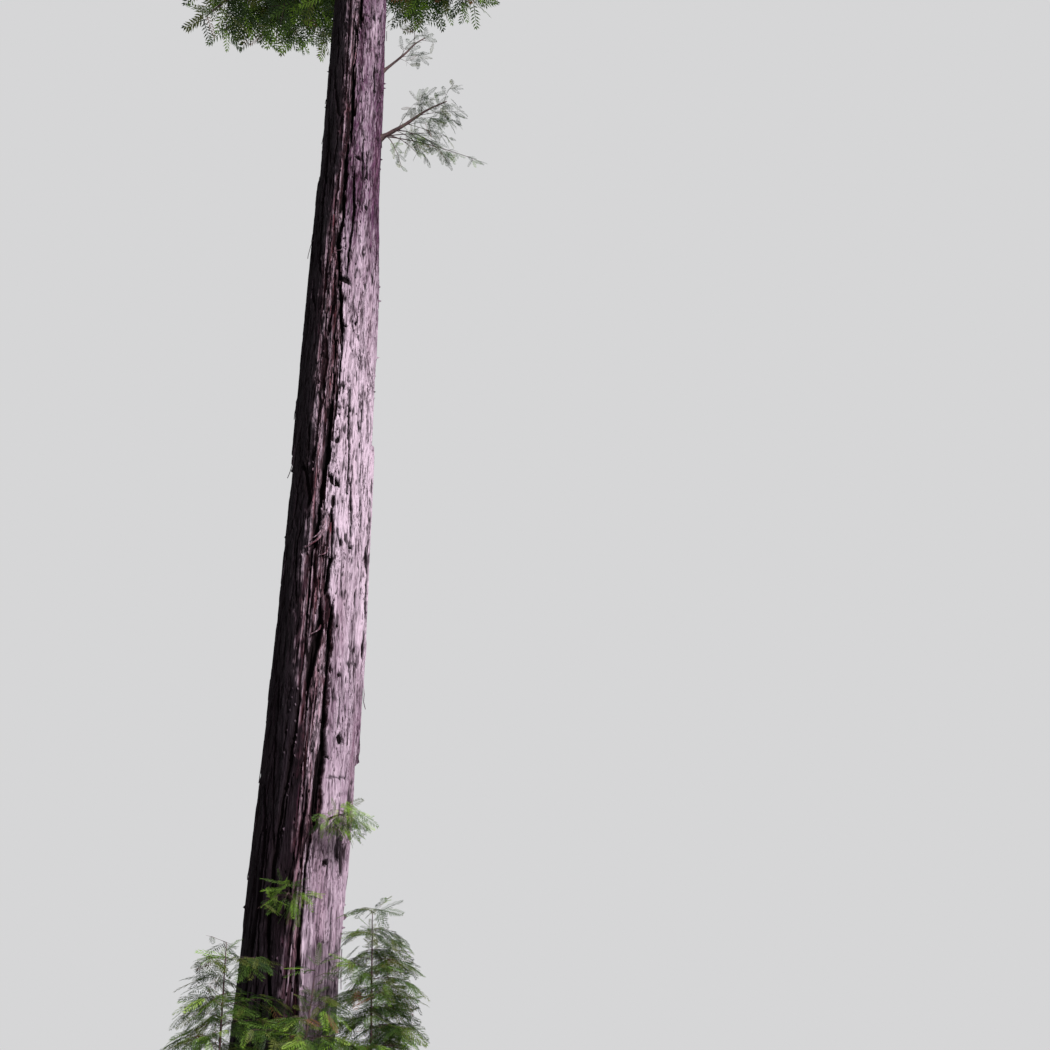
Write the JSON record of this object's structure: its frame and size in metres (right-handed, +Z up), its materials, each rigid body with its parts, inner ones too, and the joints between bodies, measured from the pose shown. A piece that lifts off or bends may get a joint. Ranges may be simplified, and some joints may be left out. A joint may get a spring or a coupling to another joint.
{
  "type": "redwood tree",
  "caption": "Tall straight redwood with a long bare furrowed bole, flared foot, narrow crown of drooping sprays and leafy foot shoots.",
  "frame": {"origin": "centre of the flat cut under the trunk, at ground level", "axes": "+Z up the trunk; the picture's viewpoint is on the -Y side, with +X to the right"},
  "size_m": [8.154, 7.6515, 39.5],
  "materials": {
    "trunk_bark": "deeply furrowed fibrous bark",
    "limb_bark": "thin flaking bark",
    "needles": "flat sprays of needles",
    "young_needles": "bright young sprays of needles"
  },
  "bodies": {
    "root": {"trunk": "trunk_bark", "bough_01": "limb_bark", "bough_02": "limb_bark", "bough_03": "limb_bark", "bough_04": "limb_bark", "bough_05": "limb_bark", "bough_06": "limb_bark", "bough_07": "limb_bark", "bough_08": "limb_bark", "bough_09": "limb_bark", "bough_10": "limb_bark", "bough_11": "limb_bark", "bough_12": "limb_bark", "bough_13": "limb_bark", "bough_14": "limb_bark", "bough_15": "limb_bark", "bough_16": "limb_bark", "bough_17": "limb_bark", "bough_18": "limb_bark", "bough_19": "limb_bark", "bough_20": "limb_bark", "bough_21": "limb_bark", "bough_22": "limb_bark", "foliage_01": "needles", "foliage_02": "needles", "foliage_03": "needles", "foliage_04": "needles", "foliage_05": "needles", "foliage_06": "needles", "foliage_07": "needles", "foliage_08": "needles", "foliage_09": "needles", "foliage_10": "needles", "foliage_11": "needles", "foliage_12": "needles", "foliage_13": "needles", "foliage_14": "needles", "foliage_15": "needles", "foliage_16": "needles", "foliage_17": "needles", "foliage_18": "needles", "foliage_19": "needles", "foliage_20": "needles", "foliage_21": "needles", "foliage_22": "needles", "foliage_tip": "needles", "side_limb_1": "limb_bark", "side_limb_2": "limb_bark", "side_limb_foliage_1": "needles", "side_limb_foliage_2": "needles", "foot_shoot_1": "limb_bark", "foot_shoot_2": "limb_bark", "foot_shoot_3": "limb_bark", "foot_shoot_foliage_1": "young_needles", "foot_shoot_foliage_2": "young_needles", "foot_shoot_foliage_3": "young_needles", "bole_spray_1": "young_needles", "bole_spray_2": "young_needles"}
  },
  "joints": []
}
